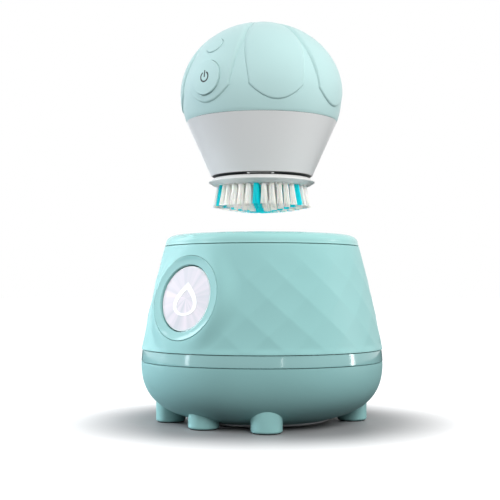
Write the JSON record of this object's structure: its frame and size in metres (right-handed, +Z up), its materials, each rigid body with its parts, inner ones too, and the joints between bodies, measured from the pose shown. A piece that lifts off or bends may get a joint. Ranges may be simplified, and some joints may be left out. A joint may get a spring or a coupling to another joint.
{
  "type": "facial cleansing brush",
  "caption": "Round palm-held cleansing brush with a petalled dome, above a footed dock with a cleaning well.",
  "frame": {"origin": "middle of the station's footprint, on the surface that its feet stand on", "axes": "+Z up along the axis of the station and the brush; the buttons face -Y"},
  "size_m": [0.1098, 0.1098, 0.1829],
  "materials": {
    "soft_aqua": "matte soft-touch coating",
    "shell_aqua": "fine matte",
    "gloss_aqua": "gloss",
    "cone_grey": "satin",
    "white_plastic": "satin",
    "well_white": "gloss",
    "bristle_white": "fine nylon filament",
    "bristle_teal": "fine nylon filament",
    "button_lilac": "satin pearl",
    "emblem_white": "gloss",
    "foot_aqua": "satin",
    "rubber_black": "matte",
    "rubber_grey": "matte",
    "steel": "machined",
    "brass": "machined",
    "copper": "enamelled wire",
    "board_green": "solder mask",
    "parts_black": "moulded",
    "battery_blue": "shrink wrap",
    "gear_white": "acetal",
    "chassis_grey": "moulded",
    "lens_clear": "clear"
  },
  "bodies": {
    "station": {"rim_ring": "gloss_aqua", "station_shell": "shell_aqua", "bezel_ring": "gloss_aqua", "button_board": "board_green", "trim_band": "gloss_aqua", "base_bowl": "shell_aqua", "bottom_cover": "chassis_grey", "cover_screws": "steel", "cleaning_well": "well_white", "drain_grille": "chassis_grey", "uv_lamps": "lens_clear", "transmitter_coil": "copper", "station_frame": "chassis_grey", "frame_screws": "steel", "fan_frame": "parts_black", "station_board": "board_green", "power_jack": "parts_black", "foot_1": "foot_aqua", "foot_2": "foot_aqua", "foot_3": "foot_aqua", "foot_4": "foot_aqua", "foot_5": "foot_aqua", "foot_pad_1": "rubber_black", "foot_pad_2": "rubber_black", "foot_pad_3": "rubber_black", "foot_pad_4": "rubber_black", "foot_pad_5": "rubber_black"},
    "station_button": {"station_button": "button_lilac", "button_emblem": "emblem_white"},
    "fan": {"fan_rotor": "parts_black"},
    "handle": {"grip_shell": "soft_aqua", "switch_boards": "board_green", "lower_housing": "cone_grey", "seam_seal": "rubber_black", "neck_seal": "rubber_grey", "inner_chassis": "chassis_grey", "chassis_screws": "steel", "battery_cradle": "white_plastic", "battery_cell": "battery_blue", "main_board": "board_green", "board_parts": "parts_black", "receiver_coil": "copper", "gearbox_plate": "chassis_grey", "motor_can": "steel", "idler_axle": "steel", "shaft_bushing": "brass"},
    "power_button": {"power_button": "soft_aqua"},
    "mode_button": {"mode_button": "soft_aqua"},
    "drive": {"drive_shaft": "steel", "output_gear": "gear_white"},
    "idler": {"idler_gear": "gear_white"},
    "motor_rotor": {"motor_shaft": "steel", "motor_pinion": "brass"},
    "brush_head": {"head_plate": "white_plastic", "bristles_white": "bristle_white", "bristles_teal": "bristle_teal"}
  },
  "joints": [
    {"name": "brush_lift", "type": "slide", "parent": "station", "child": "handle", "axis": [0, 0, 1], "range_m": [-0.0513, 0]},
    {"name": "power_press", "type": "slide", "parent": "handle", "child": "power_button", "axis": [0, 0.994, -0.109], "range_m": [0, 0.0006], "stiffness_N_per_m": 900},
    {"name": "mode_press", "type": "slide", "parent": "handle", "child": "mode_button", "axis": [0, 0.8091, -0.5877], "range_m": [0, 0.0006], "stiffness_N_per_m": 900},
    {"name": "station_press", "type": "slide", "parent": "station", "child": "station_button", "axis": [0, 0.9754, -0.2203], "range_m": [0, 0.001], "stiffness_N_per_m": 900},
    {"name": "fan_spin", "type": "hinge", "parent": "station", "child": "fan", "pos_m": [0, 0, 0.029], "axis": [0, 0, 1], "continuous": true},
    {"name": "drive_spin", "type": "hinge", "parent": "handle", "child": "drive", "pos_m": [0, 0, 0.12], "axis": [0, 0, 1], "continuous": true},
    {"name": "idler_spin", "type": "hinge", "parent": "handle", "child": "idler", "pos_m": [0.0125, 0, 0.12], "axis": [0, 0, 1], "continuous": true},
    {"name": "motor_spin", "type": "hinge", "parent": "handle", "child": "motor_rotor", "pos_m": [0.00216, 0.00868, 0.13], "axis": [0, 0, 1], "continuous": true},
    {"name": "head_release", "type": "slide", "parent": "drive", "child": "brush_head", "axis": [0, 0, -1], "range_m": [0, 0.005]}
  ],
  "couplings": [
    {"joint": "idler_spin", "follows": "drive_spin", "ratio": -2.5714},
    {"joint": "motor_spin", "follows": "drive_spin", "ratio": 9}
  ]
}
